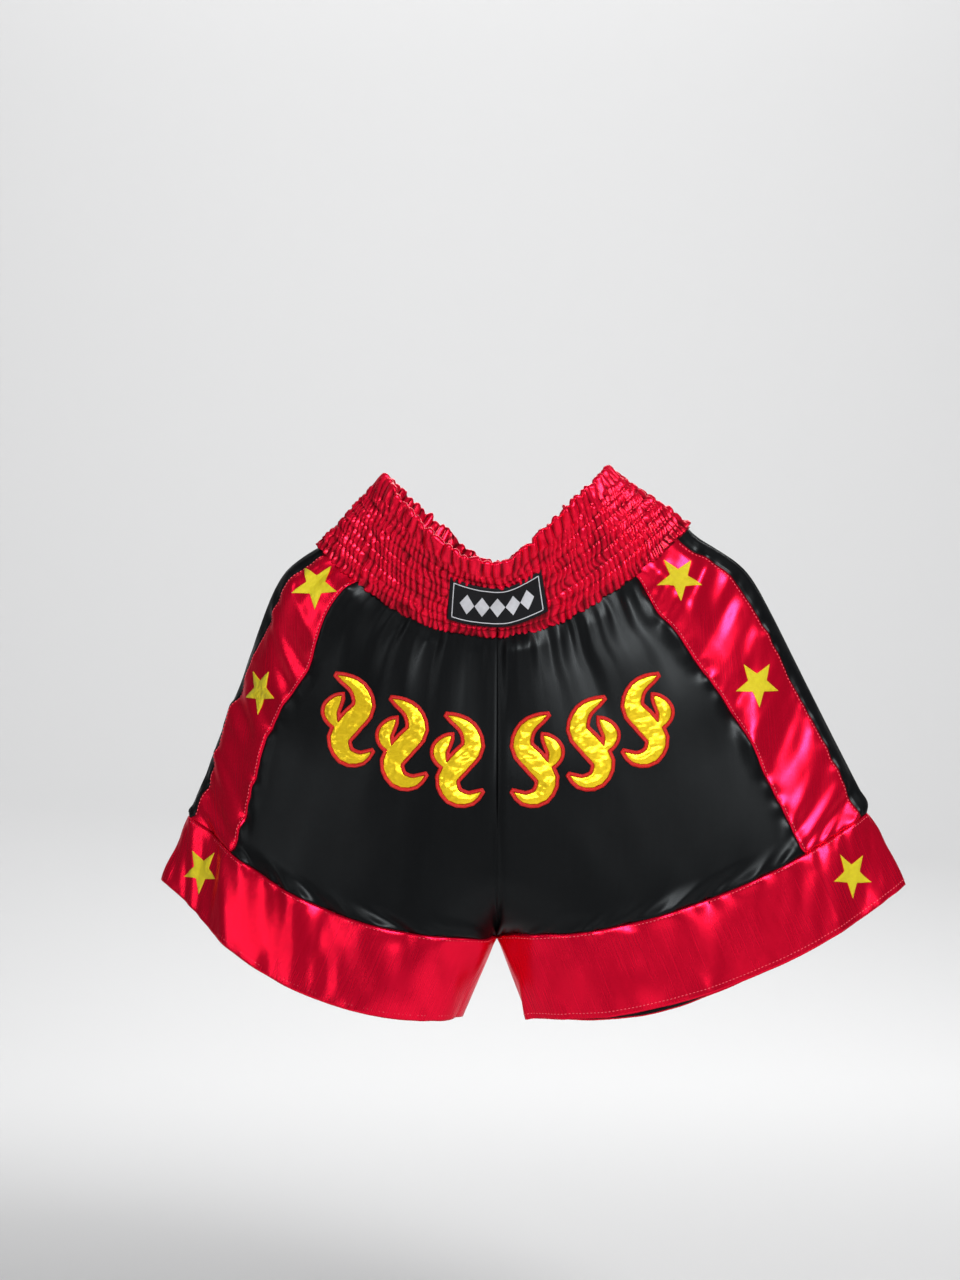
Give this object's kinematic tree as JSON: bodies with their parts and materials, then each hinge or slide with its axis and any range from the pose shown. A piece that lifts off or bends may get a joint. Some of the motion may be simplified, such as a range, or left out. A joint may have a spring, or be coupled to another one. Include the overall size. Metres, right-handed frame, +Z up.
{
  "type": "thai boxing shorts",
  "caption": "Wide-legged satin Thai boxing shorts with a shirred elastic waistband, side stripes, hem bands, star embroidery and flame appliques, hanging as from a coat hanger.",
  "frame": {"origin": "where a hanger carries the shorts: in the waist opening, midway between the two raised sides of the waistband's upper edge", "axes": "+Z up, -Y the front of the shorts, +X the wearer's left"},
  "size_m": [0.5544, 0.1418, 0.4134],
  "materials": {
    "red_satin": "red polyester satin",
    "black_satin": "black polyester satin",
    "gold_satin": "gold polyester satin",
    "red_thread": "red embroidery thread, satin stitch",
    "yellow_thread": "yellow embroidery thread, fill stitch",
    "elastic": "woven elastic tape",
    "woven_label": "woven label, black with silver thread"
  },
  "bodies": {
    "root": {"back_panel_left": "black_satin", "back_panel_right": "black_satin", "centre_seam_back": "black_satin", "centre_seam_front": "black_satin", "elastic_row_1": "elastic", "elastic_row_2": "elastic", "elastic_row_3": "elastic", "elastic_row_4": "elastic", "elastic_row_5": "elastic", "elastic_row_6": "elastic", "elastic_row_7": "elastic", "flame_border_inner_left": "red_thread", "flame_border_inner_right": "red_thread", "flame_border_middle_left": "red_thread", "flame_border_middle_right": "red_thread", "flame_border_outer_left": "red_thread", "flame_border_outer_right": "red_thread", "flame_inner_left": "gold_satin", "flame_inner_right": "gold_satin", "flame_middle_left": "gold_satin", "flame_middle_right": "gold_satin", "flame_outer_left": "gold_satin", "flame_outer_right": "gold_satin", "front_panel_left": "black_satin", "front_panel_right": "black_satin", "hem_band_back_left": "red_satin", "hem_band_back_right": "red_satin", "hem_band_front_left": "red_satin", "hem_band_front_right": "red_satin", "hem_facing_back_left": "black_satin", "hem_facing_back_right": "black_satin", "hem_facing_front_left": "black_satin", "hem_facing_front_right": "black_satin", "side_seam_back_left": "black_satin", "side_seam_back_right": "black_satin", "side_seam_front_left": "black_satin", "side_seam_front_right": "black_satin", "side_stripe_left": "red_satin", "side_stripe_right": "red_satin", "star_hem_left": "yellow_thread", "star_hem_right": "yellow_thread", "star_middle_left": "yellow_thread", "star_middle_right": "yellow_thread", "star_upper_left": "yellow_thread", "star_upper_right": "yellow_thread", "waist_label": "woven_label", "waistband_casing_back": "red_satin", "waistband_casing_front": "red_satin"}
  },
  "joints": []
}
